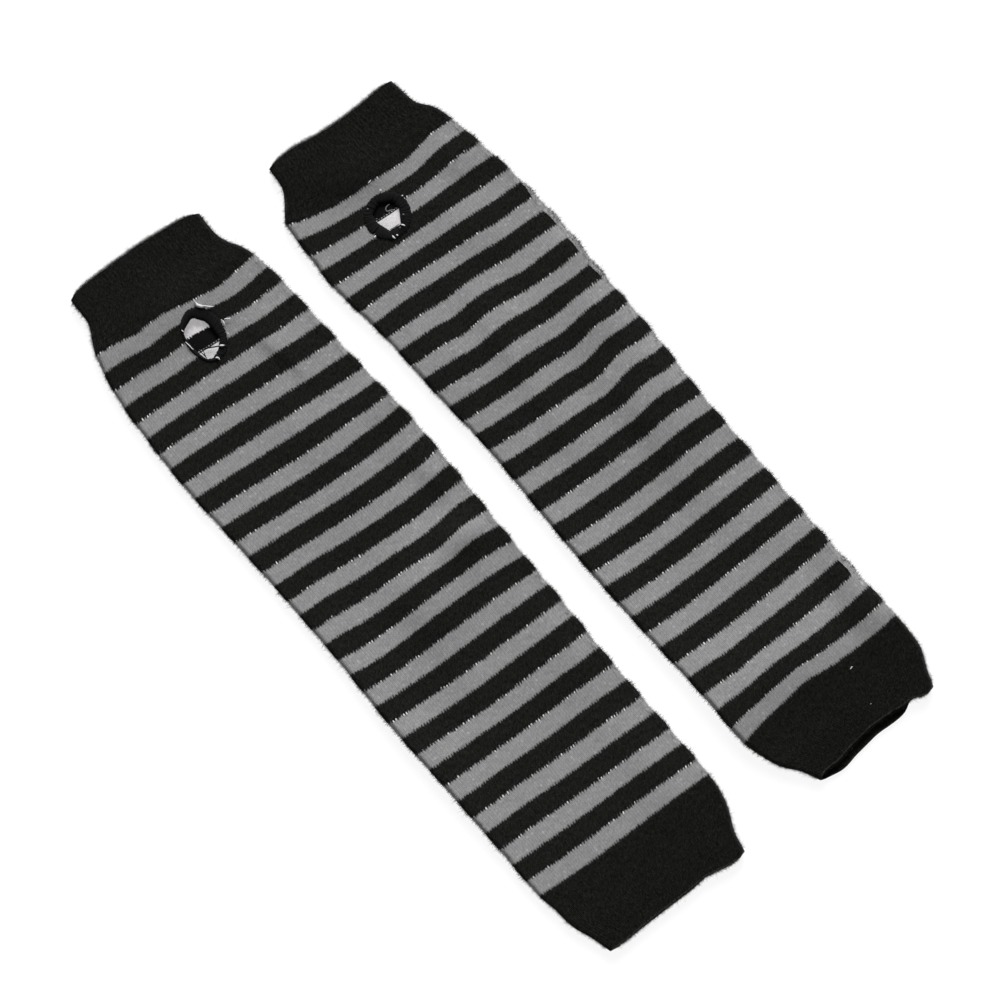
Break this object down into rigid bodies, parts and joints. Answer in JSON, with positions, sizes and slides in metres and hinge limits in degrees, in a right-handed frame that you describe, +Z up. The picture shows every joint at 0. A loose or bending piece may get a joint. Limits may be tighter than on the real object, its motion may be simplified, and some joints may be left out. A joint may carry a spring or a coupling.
{
  "type": "arm warmers",
  "caption": "Striped knitted arm warmers laid flat side by side: open tubes with a ribbed hand cuff, an overcast thumb hole and a plain arm cuff.",
  "frame": {"origin": "On the surface that the pair lies on, below the middle of the pair", "axes": "+X runs across the pair from the left sleeve to the right one, +Y along the sleeves towards the hand cuffs, +Z up from the surface"},
  "size_m": [0.1805, 0.3349, 0.005],
  "materials": {
    "black_yarn": "matte ribbed and plain black knit",
    "striped_yarn": "matte knit in even grey and black stripes",
    "edging_thread": "matte overcast black thread"
  },
  "bodies": {
    "root": {"left_hand_cuff": "black_yarn", "left_tube_top": "striped_yarn", "left_tube_bottom": "striped_yarn", "left_thumb_edging": "edging_thread", "left_arm_cuff": "black_yarn", "right_hand_cuff": "black_yarn", "right_tube_top": "striped_yarn", "right_tube_bottom": "striped_yarn", "right_thumb_edging": "edging_thread", "right_arm_cuff": "black_yarn"}
  },
  "joints": []
}
